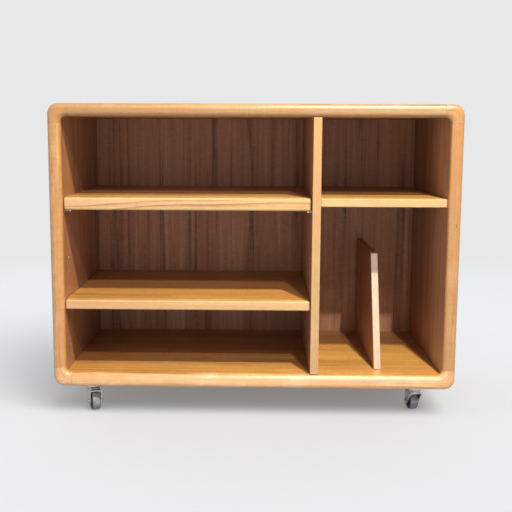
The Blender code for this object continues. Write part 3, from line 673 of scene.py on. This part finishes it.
def corner_stations(edge_x, inward_x, edge_z, inward_z, reach_x, reach_z, inner_radius):
    """The same for a corner, from its stile to its rail."""
    run_z, run_x = reach_z - CORNER_RADIUS, reach_x - CORNER_RADIUS
    turn = CORNER_RADIUS * math.pi / 2
    total = run_z + turn + run_x
    stations = []
    for step in range(CORNER_STEPS + 1):
        share = step / CORNER_STEPS
        length = share * total
        if length < run_z:
            outer = (0, reach_z - length)
        elif length < run_z + turn:
            angle = (length - run_z) / CORNER_RADIUS
            outer = (CORNER_RADIUS * (1 - math.cos(angle)), CORNER_RADIUS * (1 - math.sin(angle)))
        else:
            outer = (CORNER_RADIUS + length - run_z - turn, 0)
        angle = share * math.pi / 2
        inner = (reach_x - inner_radius * math.cos(angle), reach_z - inner_radius * math.sin(angle))
        places = [(edge_x + inward_x * x, edge_z + inward_z * z) for x, z in (outer, inner)]
        stations.append((places[0], places[1], length))
    return stations


def frame_mesh(stations):
    """A loft through bullnose sections, with the grain coordinates kept in an attribute."""
    bm = bmesh.new()
    rings = []
    coordinates = []
    for outer, inner, along in stations:
        section = nose_section(outer, inner)
        rings.append([bm.verts.new(point) for point, offset in section])
        coordinates += [(along, offset, point[1] - FRAME_FRONT) for point, offset in section]
    count = len(rings[0])
    for ring, following in zip(rings, rings[1:]):
        for index in range(count):
            after = (index + 1) % count
            bm.faces.new((ring[index], ring[after], following[after], following[index]))
    bm.faces.new(rings[0])
    bm.faces.new(rings[-1])
    mesh = bm_mesh(bm)
    attribute = mesh.attributes.new("grain", "FLOAT_VECTOR", "POINT")
    for item, place in zip(attribute.data, coordinates):
        item.vector = place
    return mesh


# Painted light and shade: how much redder, greener and bluer each piece of the frame is than
# FRAME_TONES, lighter or darker by how the light falls on it; the rails' paler, bluer tint is a
# painted highlight
FRAME_PAINTED_LIGHT = {
    "stile_left": (1.16, 1.16, 1.16), "stile_right": (0.95, 0.95, 0.95),
    "rail_top": (0.91, 0.98, 1.16), "rail_bottom": (1.19, 1.23, 1.32),
    "corner_top_left": (1.05, 1.05, 1.05), "corner_top_right": (0.95, 0.95, 0.95),
    "corner_bottom_left": (1.12, 1.12, 1.12), "corner_bottom_right": (1.02, 1.02, 1.02),
}
FRAME_LOOK = dict(coat=0.80, flame=0.60, edge=0.0006, wear=0.25)
STILE_LOOK = dict(FRAME_LOOK, pith=(0, 0.38, 0.04), rings=140, ring_strength=0.22, warp=0.02,
                  ripple=0.32, streaks=0.42, bands=0.34, coat_roughness=0.34)
RAIL_LOOK = dict(FRAME_LOOK, pith=(0, 0.45, 0.05), rings=130, ring_strength=0.30, warp=0.025,
                 ripple=0.20, streaks=0.55, coat_roughness=0.36)
CORNER_LOOK = dict(FRAME_LOOK, pith=(0, 0.30, 0.05), rings=150, ring_strength=0.20, warp=0.02,
                   ripple=0.14, streaks=0.42, coat_roughness=0.34)

# Bruises on the front: how far in from the piece's left edge, how high, and half their sizes
BRUISES = {
    "stile_right": ((0.0165, 0.4095), (0.0015, 0.02, 0.0052)),
    "corner_bottom_left": ((0.0195, 0.0735), (0.0014, 0.02, 0.0014)),
}


def frame_piece(name, stations, look):
    """One bullnosed piece of the frame, in place of its CAD node."""
    node = f"frame_{name}"
    marks = ()
    if name in BRUISES:
        (inset, height), size = BRUISES[name]
        marks = (((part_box(node)[0].x + inset, FRAME_FRONT, height), size),)
    # the piece's tones carry its painted light and shade
    material = wood_material(f"{node} teak", tinted(FRAME_TONES, FRAME_PAINTED_LIGHT[name]), None,
                             marks=marks, **look)
    finish_piece(name, frame_mesh(stations), material, "carcase", (node,))


def build_front_frame():
    stile_low, stile_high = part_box("frame_stile_left")
    corner_low, corner_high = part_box("frame_corner_top_left")
    inner_radius = (corner_high.x - corner_low.x) - (stile_high.x - stile_low.x)
    for side in ("left", "right"):
        low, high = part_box(f"frame_stile_{side}")
        outer, inner = (low.x, high.x) if side == "left" else (high.x, low.x)
        stations = straight_stations(low.z, high.z, outer, inner, True)
        frame_piece(f"stile_{side}", stations, STILE_LOOK)
    for level in ("top", "bottom"):
        low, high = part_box(f"frame_rail_{level}")
        outer, inner = (low.z, high.z) if level == "bottom" else (high.z, low.z)
        stations = straight_stations(low.x, high.x, outer, inner, False)
        frame_piece(f"rail_{level}", stations, RAIL_LOOK)
        for side in ("left", "right"):
            low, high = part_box(f"frame_corner_{level}_{side}")
            edge_x, inward_x = (low.x, 1) if side == "left" else (high.x, -1)
            edge_z, inward_z = (low.z, 1) if level == "bottom" else (high.z, -1)
            stations = corner_stations(edge_x, inward_x, edge_z, inward_z, high.x - low.x,
                                       high.z - low.z, inner_radius)
            frame_piece(f"corner_{level}_{side}", stations, CORNER_LOOK)


# ---- studs, sleeves and screws

def face_matrix(place, normal):
    """Takes +Z to the normal and the origin to the place."""
    turn = Vector((0, 0, 1)).rotation_difference(Vector(normal)).to_matrix().to_4x4()
    return Matrix.Translation(place) @ turn


def random_spin():
    return Matrix.Rotation(DICE.uniform(0, math.pi), 4, "Z")


def stud_mesh(radius, length):
    """Stem, then a head with a turned groove and a domed end, along +Z."""
    flat, waist = 0.62 * radius, 0.82 * radius
    profile = [(0, length), (flat, length - STUD_DOME * (1 - math.cos(math.radians(15))))]
    for angle in range(30, 91, 15):
        turn = math.radians(angle)
        profile.append((flat + (radius - flat) * math.sin(turn),
                        length - STUD_DOME * (1 - math.cos(turn))))
    for reach, share in ((radius, 0.62), (waist, 0.68), (waist, 0.86), (radius, 0.90), (radius, 1),
                         (STUD_STEM_RADIUS, 1)):
        profile.append((reach, length - STUD_HEAD * share))
    profile += [(STUD_STEM_RADIUS, 0), (0, 0)]
    return lathe(profile, 32)


def build_studs():
    """Domed nickel studs that replace the CAD ones."""
    for shelf in ("upper", "lower"):
        for place in ("front", "back"):
            for side, turn in (("left", 1), ("right", -1)):
                node = f"stud_{shelf}_{place}_{side}"
                low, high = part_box(node)
                foot = low.x if side == "left" else high.x
                middle = (low + high) / 2
                matrix = face_matrix((foot, middle.y, middle.z), (turn, 0, 0))
                mesh = moved(stud_mesh((high.z - low.z) / 2, high.x - low.x), matrix)
                finish_piece(f"shelf_{node}", mesh, NICKEL, "carcase", (node,), 40)


def sleeve_mesh():
    """Thin pressed sleeve of a stud hole, with a rolled rim that stands on the board."""
    bore, wall, rim, rise, depth = 0.00215, 0.0003, 0.0032, 0.0005, 0.0015
    profile = [(bore, -depth), (bore, rise * 0.6), (bore + 0.0004, rise), (rim - 0.0006, rise),
               (rim, rise * 0.35), (rim, 0.0), (bore + wall, 0.0), (bore + wall, -depth)]
    return lathe(profile, 24, ring=True)


def build_sleeves():
    """Sleeves in the empty stud holes, in a front and a back column."""
    columns = [sum(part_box(f"stud_upper_{place}_left")[end].y for end in (0, 1)) / 2
               for place in ("front", "back")]
    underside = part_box("bottom_panel")[0].z
    rows = [underside + start + HOLE_PITCH * index for start, count in HOLE_ROWS
            for index in range(count)]
    ring = sleeve_mesh()
    faces = (("left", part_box("side_left")[1].x, 1), ("right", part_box("partition")[0].x, -1))
    for name, x, turn in faces:
        rings = [moved(ring, face_matrix((x, y, z), (turn, 0, 0))) for y in columns for z in rows]
        finish_piece(f"hole_sleeves_{name}", merged(rings), PALE_NICKEL, "carcase",
                     crease=40)


def screw_head_mesh(radius, rise):
    """Domed head with a cross recess, its underside at z = 0."""
    profile = [(0, rise)]
    steps = 8
    for step in range(1, steps + 1):
        angle = math.radians(90 * step / steps)
        profile.append((radius * math.sin(angle), rise * (0.25 + 0.75 * math.cos(angle))))
    profile += [(radius, 0), (0, 0)]
    head = lathe(profile, 28)
    slot_half, slot_width, slot_low = radius * 0.55, radius * 0.13, rise * 0.45
    for half_x, half_y in ((slot_half, slot_width), (slot_width, slot_half)):
        corners = [(half_x, half_y), (-half_x, half_y), (-half_x, -half_y), (half_x, -half_y)]
        recess = prism(corners, lambda point, end: (*point, rise * 2 if end else slot_low))
        head = combine(head, recess, "DIFFERENCE")
    return head


def build_back_screws():
    """Small brass screws that hold the back panel, round its edge and along the partition."""
    low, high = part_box("back_panel")
    post_low, post_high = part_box("partition")
    post_x = (post_low.x + post_high.x) / 2
    y = high.y
    inset = 0.010
    across, up = 5, 4
    places = []
    for index in range(across + 1):
        x = low.x + inset + (high.x - low.x - 2 * inset) * index / across
        places += [(x, y, low.z + inset), (x, y, high.z - inset)]
    for index in range(1, up):
        z = low.z + inset + (high.z - low.z - 2 * inset) * index / up
        places += [(low.x + inset, y, z), (high.x - inset, y, z), (post_x, y, z)]
    head = screw_head_mesh(0.0030, 0.0011)
    heads = [moved(head, face_matrix(place, (0, 1, 0)) @ random_spin()) for place in places]
    finish_piece("back_screws", merged(heads), BRASS, "carcase", crease=40)


# ---- casters

def plate_piece(place, pivot):
    """Rounded mounting plate with the pressed upper cup, and its four screws."""
    node = f"caster_{place}_plate"
    low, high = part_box(node)
    inner = (high.x - low.x) / 2 - PLATE_CORNER
    plate_low = high.z - PLATE_THICKNESS
    outline = []
    turns = ((inner, inner), (-inner, inner), (-inner, -inner), (inner, -inner))
    for quarter, (x, y) in enumerate(turns):
        outline += arc((x, y), PLATE_CORNER, 90 * quarter, 90 * quarter + 90, 10)
    plate = prism(outline, lambda point, end: (*point, high.z if end else plate_low))
    shoulder = (plate_low + low.z) / 2
    bend = 0.0014
    rim = RACE_RADIUS + 0.0006
    inside = plate_low + 0.001
    cup = [(0, inside), (CUP_RADIUS, inside)]
    cup += arc((CUP_RADIUS - bend, shoulder), bend, 0, -40, 5)
    cup += [(rim + 0.0006, low.z + 0.0012), (rim, low.z + 0.0010), (rim, low.z + 0.0002),
            (rim - 0.0008, low.z), (0, low.z)]
    plate = combine(plate, lathe(cup, 64), "UNION")
    bore, below, above = KINGPIN_RADIUS + GAP, low.z - 0.002, high.z + 0.002
    hole = [(0, below), (bore, below), (bore, above), (0, above)]
    plate = combine(plate, lathe(hole, 32), "DIFFERENCE")
    piece = finish_piece(f"mount_{place}", upright_at(plate, pivot), ZINC, "carcase",
                         (node,))
    ease_edges(piece, 0.0003)
    head = screw_head_mesh(0.0029, 0.0016)
    heads = []
    for x in (-PLATE_SCREW_OFFSET, PLATE_SCREW_OFFSET):
        for y in (-PLATE_SCREW_OFFSET, PLATE_SCREW_OFFSET):
            matrix = face_matrix((pivot.x + x, pivot.y + y, plate_low), (0, 0, -1)) @ random_spin()
            heads.append(moved(head, matrix))
    finish_piece(f"mount_screws_{place}", merged(heads), ZINC, "carcase", crease=40)


def kingpin_piece(place, pivot):
    """The rivet the fork turns on: its pin, and a dimpled head below the crown."""
    node = f"caster_{place}_kingpin"
    low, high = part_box(node)
    radius = (high.x - low.x) / 2
    head = 0.002
    profile = [(0, high.z), (KINGPIN_RADIUS, high.z), (KINGPIN_RADIUS, low.z + head),
               (radius, low.z + head), (radius, low.z + 0.0009), (radius - 0.0004, low.z + 0.0004),
               (radius - 0.0012, low.z + 0.0001), (radius - 0.0022, low.z), (0.0022, low.z),
               (0.0016, low.z + 0.0006), (0, low.z + 0.0007)]
    finish_piece(f"rivet_{place}", upright_at(lathe(profile, 40), pivot), DARK_ZINC, "carcase",
                 (node,), 40)


def fork_mesh():
    """Sheet steel folded over the wheel, with a rolled race on top, in the fork's own frame."""
    outside = FORK_INSIDE + FORK_THICKNESS
    crown_high = CROWN_LOW + FORK_THICKNESS
    race_top = crown_high + RACE_HEIGHT
    bend, inner_bend = FORK_BEND_RADIUS, FORK_BEND_RADIUS - FORK_THICKNESS
    foot = 0.004
    outline = [(outside, foot)]
    outline += arc((outside - bend, crown_high - bend), bend, 0, 90, 10)
    outline += arc((bend - outside, crown_high - bend), bend, 90, 180, 10)
    outline += [(-outside, foot), (-FORK_INSIDE, foot)]
    outline += arc((inner_bend - FORK_INSIDE, CROWN_LOW - inner_bend), inner_bend, 180, 90, 8)
    outline += arc((FORK_INSIDE - inner_bend, CROWN_LOW - inner_bend), inner_bend, 90, 0, 8)
    outline += [(FORK_INSIDE, foot)]
    toe = -TRAIL - FORK_EYE_RADIUS
    spare = 0.002
    ends = (toe - spare, FORK_HEEL + spare)
    channel = prism(outline, lambda point, end: (point[0], ends[end], point[1]))
    # the cheeks as seen from the side: the eye round the axle, and a rounded heel
    heel_low = CROWN_LOW - 2 * FORK_THICKNESS
    rounding = 0.004
    over = crown_high + spare
    side = [(FORK_HEEL, over), (toe, over)]
    side += arc((-TRAIL, WHEEL_RADIUS), FORK_EYE_RADIUS, 180, 322, 26)
    side += arc((FORK_HEEL - rounding, heel_low + rounding), rounding, -38, 0, 8)
    wide = outside + spare
    blank = prism(side, lambda point, end: (wide if end else -wide, *point))
    fork = combine(channel, blank, "INTERSECT")
    roll = 0.0009
    race = [(0, race_top - 0.0006), (RACE_RADIUS - 3.2 * roll, race_top - 0.0006),
            (RACE_RADIUS - 2.4 * roll, race_top - 0.0001)]
    race += arc((RACE_RADIUS - roll, race_top - roll), roll, 90, 0, 4)
    race += [(RACE_RADIUS, race_top - 2 * roll), (RACE_RADIUS - 0.0006, crown_high - 0.0005),
             (0, crown_high - 0.0005)]
    fork = combine(fork, lathe(race, 64), "UNION")
    reach, above = KINGPIN_RADIUS + 0.0004, 0.06
    bore = lathe([(0, foot), (reach, foot), (reach, above), (0, above)], 32)
    reach = AXLE_RADIUS + GAP
    hole = lathe([(0, -wide), (reach, -wide), (reach, wide), (0, wide)], 32)
    return combine(combine(fork, bore, "DIFFERENCE"), moved(hole, AXLE_MATRIX), "DIFFERENCE")


def axle_mesh():
    """Rivet through the fork: a domed head at each end, about its own Z."""
    inside = FORK_INSIDE + FORK_THICKNESS + GAP
    outside = inside + AXLE_HEAD_THICKNESS
    half = [(0, outside - 0.0005), (0.0018, outside - 0.0005), (0.0022, outside)]
    flat, side = 0.0030, 0.0004
    steps = 7
    for step in range(1, steps + 1):
        angle = math.radians(90 * step / steps)
        half.append((flat + (AXLE_HEAD_RADIUS - flat) * math.sin(angle),
                     inside + side + (AXLE_HEAD_THICKNESS - side) * math.cos(angle)))
    half += [(AXLE_HEAD_RADIUS, inside), (AXLE_RADIUS, inside)]
    return lathe(mirrored(half), 36)


def hub_mesh():
    """Moulded wheel centre: boss, dished web and rim."""
    bore = AXLE_RADIUS + 0.0004
    boss = bore + 0.0032
    boss_end = FORK_INSIDE - 0.0006
    rim_outer = WHEEL_RADIUS - TYRE_THICKNESS - GAP
    rim_inner = rim_outer - 0.0024
    rim_end = TYRE_HALF_WIDTH - 0.001
    web = 0.0036
    fillet = 0.0009
    half = [(bore, boss_end - 0.0003), (bore + 0.0003, boss_end), (boss - 0.0005, boss_end),
            (boss, boss_end - 0.0005), (boss, web + fillet)]
    half += arc((boss + fillet, web + fillet), fillet, 210, 270, 2)
    half += arc((rim_inner - fillet, web + fillet), fillet, 270, 360, 3)
    half += [(rim_inner, rim_end - 0.0004), (rim_inner + 0.0004, rim_end),
             (rim_outer - 0.0004, rim_end), (rim_outer, rim_end - 0.0004)]
    return lathe(mirrored(half), 64, ring=True)


def tyre_mesh():
    """Solid tyre with a crowned profile and a fine mould line; tread is where it runs."""
    inner = WHEEL_RADIUS - TYRE_THICKNESS
    half_width, shoulder = TYRE_HALF_WIDTH, TYRE_SHOULDER
    half = [(inner, half_width - 0.0008), (inner + 0.0008, half_width)]
    crown = 0.0003
    edge_radius = WHEEL_RADIUS - crown
    half += arc((edge_radius - shoulder, half_width - shoulder), shoulder, 90, 0, 9)
    flat = half_width - shoulder
    half += [(WHEEL_RADIUS - crown * (share ** 2), flat * share) for share in (0.75, 0.5, 0.25)]
    half += [(WHEEL_RADIUS, 0.0006), (WHEEL_RADIUS - 0.0001, 0.0002)]
    mesh = lathe(mirrored(half), 96, ring=True)
    tread = mesh.attributes.new("tread", "FLOAT", "POINT")
    for vertex, item in zip(mesh.vertices, tread.data):
        reach = math.hypot(vertex.co.x, vertex.co.y)
        item.value = min(1.0, max(0.0, (reach - TREAD_START) / TREAD_FADE))
    return mesh


def build_casters():
    fork, axle, hub, tyre = fork_mesh(), axle_mesh(), hub_mesh(), tyre_mesh()
    for place in PLACES:
        pivot = Vector(JOINTS[f"{place}_swivel"]["pos_m"])
        plate_piece(place, pivot)
        kingpin_piece(place, pivot)
        axis = JOINTS[f"{place}_roll"]["axis"]
        heading = Matrix.Rotation(math.atan2(axis[1], axis[0]), 4, "Z")
        stand = Matrix.Translation((pivot.x, pivot.y, 0)) @ heading
        wheel = stand @ AXLE_MATRIX
        piece = finish_piece(f"fork_{place}", moved(fork, stand), ZINC, f"fork_{place}",
                             (f"caster_{place}_fork",), 30)
        ease_edges(piece, 0.00025)
        finish_piece(f"axle_{place}", moved(axle, wheel), DARK_ZINC, f"fork_{place}",
                     (f"caster_{place}_axle",), 40)
        finish_piece(f"hub_{place}", moved(hub, wheel), NYLON, f"wheel_{place}",
                     (f"caster_{place}_hub",), 40)
        finish_piece(f"tyre_{place}", moved(tyre, wheel), RUBBER, f"wheel_{place}",
                     (f"caster_{place}_tyre",), 50)


# ---- floor, light and camera

BACKDROP = (0.807, 0.807, 0.807)
AMBIENT = (0.515, 0.53, 0.60)
FLOOR_ALBEDO = 0.91
FLOOR_TINT = (0.97, 0.985, 0.955)
FLOOR_GLOW = 0.22
FADE_START = 0.95
FADE_END = 2.4


def build_floor():
    """A wide pale floor that fades into the backdrop's grey away from the object."""
    bm = bmesh.new()
    bmesh.ops.create_circle(bm, cap_ends=True, segments=96, radius=60.0)
    floor = add_object("floor", bm_mesh(bm))
    material, g, shader = new_material("pale floor")
    place = g.object_place()
    shader.inputs["Roughness"].default_value = 0.85
    shader.inputs["Specular IOR Level"].default_value = 0.1
    mottling = g.noise(place, (30.0, 30.0, 30.0), 3.0)
    tint = g.fit(mottling, 0.2, 0.8, FLOOR_ALBEDO * 0.995, FLOOR_ALBEDO * 1.005)
    colour = g.mix(tint, (0.0, 0.0, 0.0), FLOOR_TINT)
    g.put(shader.inputs["Base Color"], colour)
    glow = g.node("ShaderNodeEmission", {"Color": (*BACKDROP, 1.0), "Strength": 1.0})
    fade = g.fit(g.vector("LENGTH", place), FADE_START, FADE_END, FLOOR_GLOW, 1.0)
    blend = g.node("ShaderNodeMixShader", {0: fade, 1: shader.outputs[0], 2: glow.outputs[0]})
    g.put(g.tree.nodes["Material Output"].inputs["Surface"], blend.outputs[0])
    floor.data.materials.append(material)
    floor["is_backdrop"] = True
    return floor


def lights_only(lamp, name, objects):
    """The lamp lights these objects alone, and everything still casts its shadow."""
    receivers = bpy.data.collections.new(name)
    for obj in objects:
        receivers.objects.link(obj)
    lamp.light_linking.receiver_collection = receivers


def add_lamp(name, kind, place, target, energy, colour):
    light = bpy.data.lights.new(name, kind)
    light.energy = energy
    light.color = colour
    lamp = add_object(name, light)
    lamp.location = place
    lamp.rotation_euler = (Vector(target) - Vector(place)).to_track_quat("-Z", "Y").to_euler()
    lamp.visible_camera = False
    return lamp


def build_world():
    """The camera sees the backdrop's grey, and everything else is lit by a dimmer, cooler one."""
    world = bpy.data.worlds.new("studio")
    bpy.context.scene.world = world
    world.use_nodes = True
    g = Graph(world.node_tree)
    seen = g.node("ShaderNodeLightPath").outputs["Is Camera Ray"]
    g.put(world.node_tree.nodes["Background"].inputs["Color"], g.mix(seen, AMBIENT, BACKDROP))


def build_light(floor):
    """Lamps in front and to the right, two reflectors, and a soft light for the floor alone."""
    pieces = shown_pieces()
    bottom_front = [piece for piece in pieces
                    if piece.name.startswith(("rail_bottom", "corner_bottom_"))]
    right_end = [piece for piece in pieces
                 if piece.name in ("side_right", "stile_right", "corner_bottom_right",
                                   "corner_top_right")]
    centre = (0.0, 0.0, 0.30)
    # name, place, target, watts, width, spread in degrees, colour, what it lights
    lamps = (
        ("near lamp", (0.57, -1.29, 2.10), (0.10, -0.35, -0.45), 32.5, 0.07, 110,
         (1.0, 0.92, 0.56), pieces),
        ("middle lamp", (0.84, -3.90, 3.60), centre, 116.0, 0.14, 180, (1.0, 0.83, 0.72), pieces),
        ("far lamp", (0.90, -6.00, 4.30), centre, 22.0, 0.20, 180, (1.0, 0.81, 0.71), pieces),
        ("floor bounce", (0.25, -1.50, 0.16), (0.1, -0.2, 0.10), 15.0, 0.90, 180,
         (0.90, 1.0, 1.25), bottom_front),
        ("left reflector", (-1.50, -1.00, 0.50), (0.40, -0.15, 0.25), 10.0, 0.90, 180,
         (1.0, 0.93, 0.75), right_end),
    )
    for name, place, target, watts, width, spread, colour, lit in lamps:
        lamp = add_lamp(name, "AREA", place, target, watts, colour)
        lamp.data.shape = "DISK"
        lamp.data.size = width
        lamp.data.spread = math.radians(spread)
        lights_only(lamp, f"lit by the {name}", lit)
    soft = add_lamp("soft overhead light", "SUN", (0.75, -0.9, 2.0), centre, 1.86, (0.99, 1.0, 1.0))
    soft.data.angle = math.radians(42)
    lights_only(soft, "lit by the soft light", [floor])
    bpy.context.scene.view_settings.view_transform = "Standard"


CAMERA_PLACE = (0.0046, -1.8154, 0.6003)
CAMERA_HEADING, CAMERA_TILT, CAMERA_ROLL = 0.0196, 0.1277, 0.0040
FOCAL_LENGTH = 55.62
CAMERA_SHIFT = (0.0292, -0.0453)


def build_camera():
    """The photograph's angle: just left of square on, from a little below the top, tilted down."""
    lens = bpy.data.cameras.new("camera")
    lens.lens = FOCAL_LENGTH
    lens.sensor_width = 36.0
    lens.shift_x, lens.shift_y = CAMERA_SHIFT
    lens.dof.use_dof = False
    camera = add_object("camera", lens)
    turn = (Matrix.Rotation(CAMERA_HEADING, 4, "Z")
            @ Matrix.Rotation(math.pi / 2 - CAMERA_TILT, 4, "X")
            @ Matrix.Rotation(CAMERA_ROLL, 4, "Z"))
    camera.matrix_world = Matrix.Translation(CAMERA_PLACE) @ turn
    bpy.context.scene.camera = camera


finish_boards()
build_front_frame()
build_studs()
build_sleeves()
build_back_screws()
build_casters()
build_world()
build_light(build_floor())
build_camera()

bpy.context.view_layer.update()
